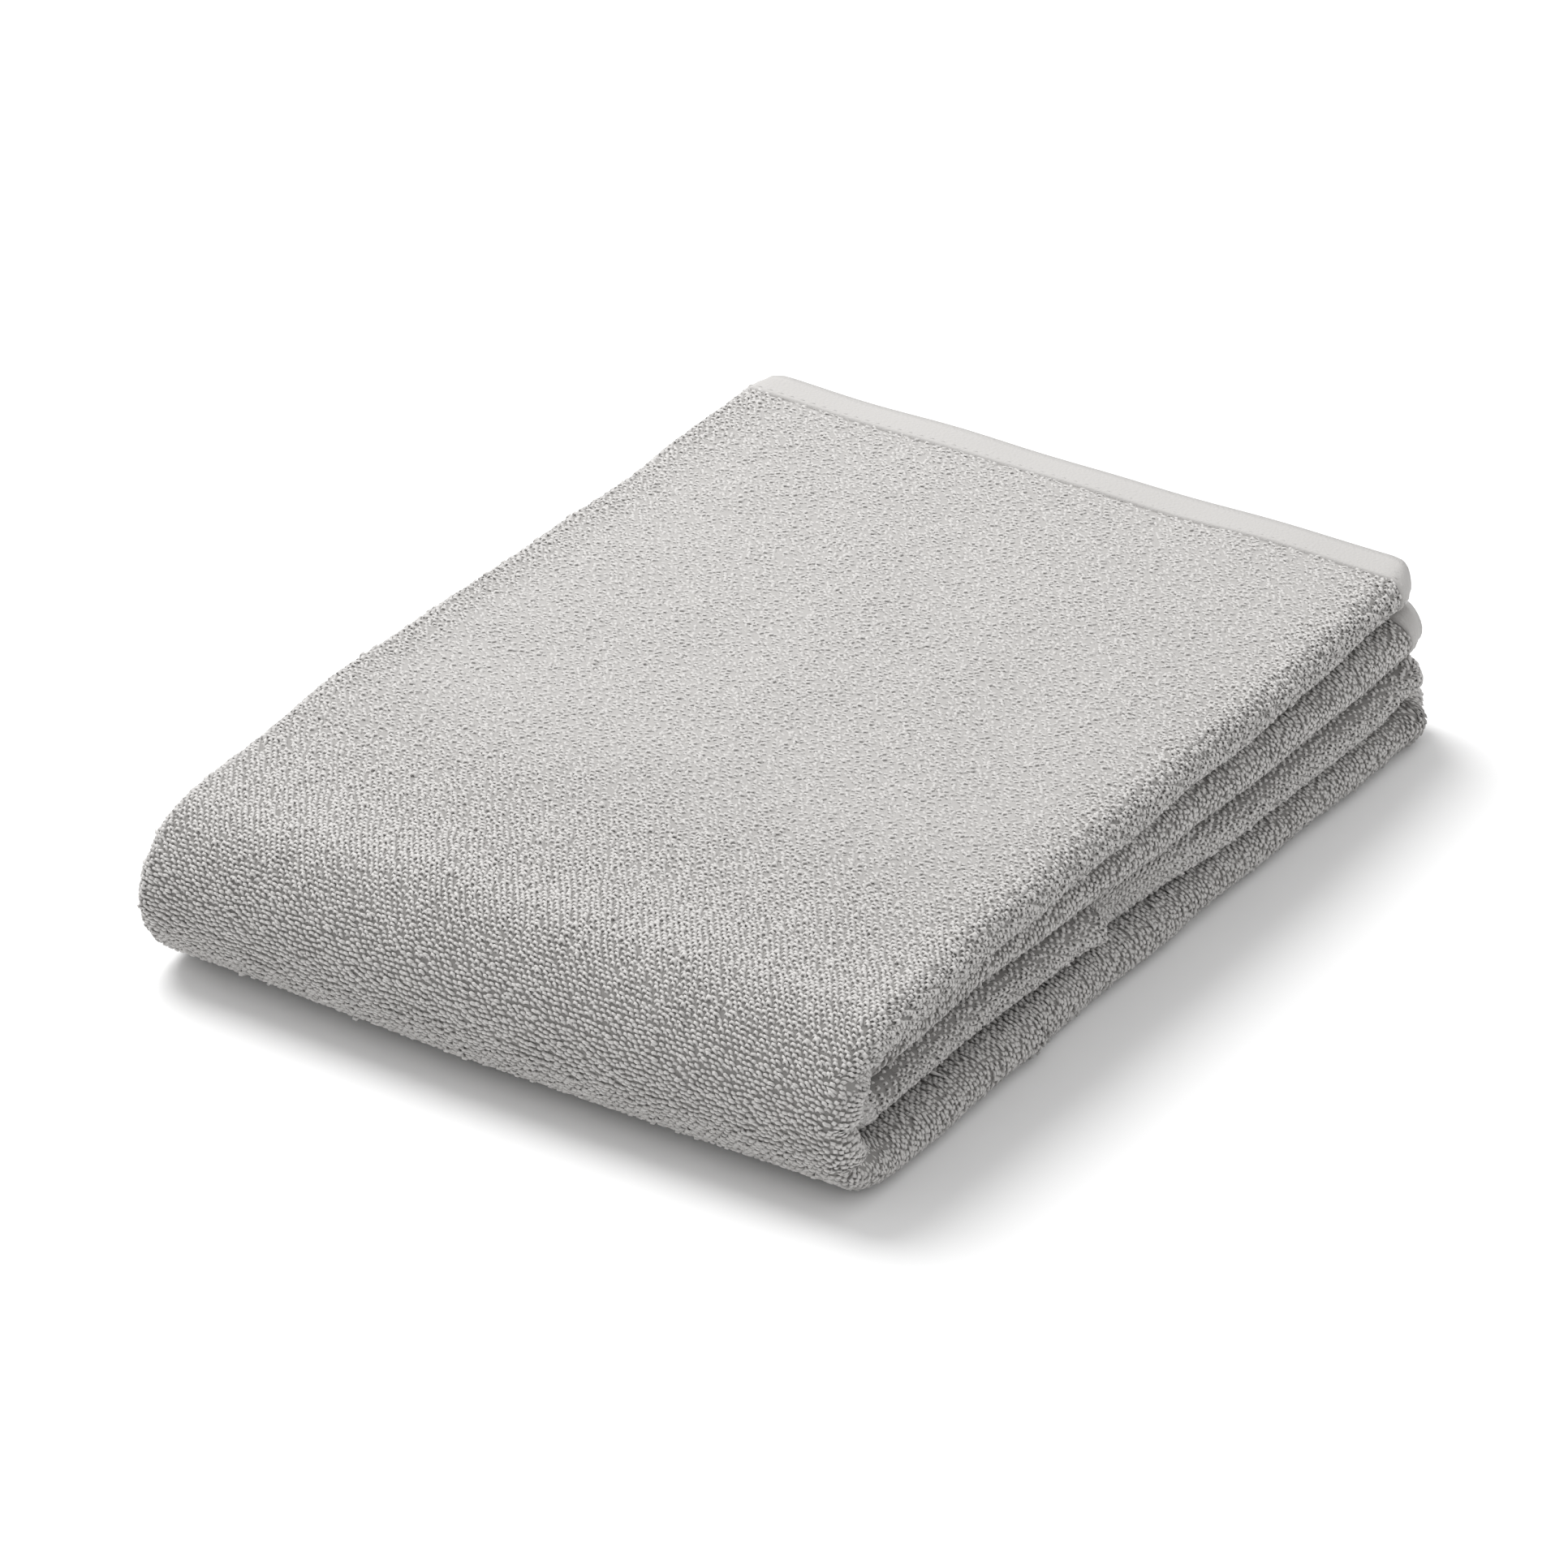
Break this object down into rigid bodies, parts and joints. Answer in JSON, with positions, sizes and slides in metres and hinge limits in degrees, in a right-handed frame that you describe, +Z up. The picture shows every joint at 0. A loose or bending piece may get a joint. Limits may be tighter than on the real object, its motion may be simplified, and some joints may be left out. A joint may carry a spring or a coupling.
{
  "type": "folded bath towel",
  "caption": "Folded cotton terry bath towel in thirds and quarters, with flat-woven end hems; its two upper layers open like book leaves at the front fold.",
  "frame": {"origin": "centre of the underside of the folded towel", "axes": "+X along the near folded edge, +Y from the front fold towards the end hems, +Z up"},
  "size_m": [0.255, 0.3556, 0.0597],
  "materials": {
    "cotton_terry": "looped pile",
    "flat_woven_hem": "flat woven",
    "sewing_thread": "twisted thread"
  },
  "bodies": {
    "lower_half": {"bottom_layer": "cotton_terry", "third_layer": "cotton_terry", "far_fold": "cotton_terry", "outer_front_fold": "cotton_terry", "inner_front_fold": "cotton_terry", "lower_left_side_hem": "flat_woven_hem", "lower_right_side_hem": "flat_woven_hem", "lower_left_side_seam": "sewing_thread", "lower_right_side_seam": "sewing_thread", "outer_fold_left_side_hem": "flat_woven_hem", "outer_fold_right_side_hem": "flat_woven_hem", "outer_fold_left_side_seam": "sewing_thread", "outer_fold_right_side_seam": "sewing_thread", "inner_fold_left_side_hem": "flat_woven_hem", "inner_fold_right_side_hem": "flat_woven_hem", "inner_fold_left_side_seam": "sewing_thread", "inner_fold_right_side_seam": "sewing_thread"},
    "second_leaf": {"second_layer": "cotton_terry", "second_end_hem": "flat_woven_hem", "second_end_stitching": "sewing_thread", "second_left_side_hem": "flat_woven_hem", "second_right_side_hem": "flat_woven_hem", "second_left_side_seam": "sewing_thread", "second_right_side_seam": "sewing_thread"},
    "top_leaf": {"top_layer": "cotton_terry", "top_end_hem": "flat_woven_hem", "top_end_stitching": "sewing_thread", "top_left_side_hem": "flat_woven_hem", "top_right_side_hem": "flat_woven_hem", "top_left_side_seam": "sewing_thread", "top_right_side_seam": "sewing_thread"}
  },
  "joints": [
    {"name": "top_leaf_opens", "type": "hinge", "parent": "lower_half", "child": "top_leaf", "pos_m": [0, -0.1574, 0.02985], "axis": [1, 0, 0], "range_deg": [0, 179], "deforming": ["outer_front_fold", "outer_fold_left_side_hem", "outer_fold_right_side_hem", "outer_fold_left_side_seam", "outer_fold_right_side_seam"]},
    {"name": "second_leaf_opens", "type": "hinge", "parent": "lower_half", "child": "second_leaf", "pos_m": [0, -0.1554, 0.02985], "axis": [1, 0, 0], "range_deg": [0, 179], "deforming": ["inner_front_fold", "inner_fold_left_side_hem", "inner_fold_right_side_hem", "inner_fold_left_side_seam", "inner_fold_right_side_seam"]}
  ],
  "couplings": [
    {"joint": "second_leaf_opens", "follows": "top_leaf_opens", "ratio": 1}
  ]
}
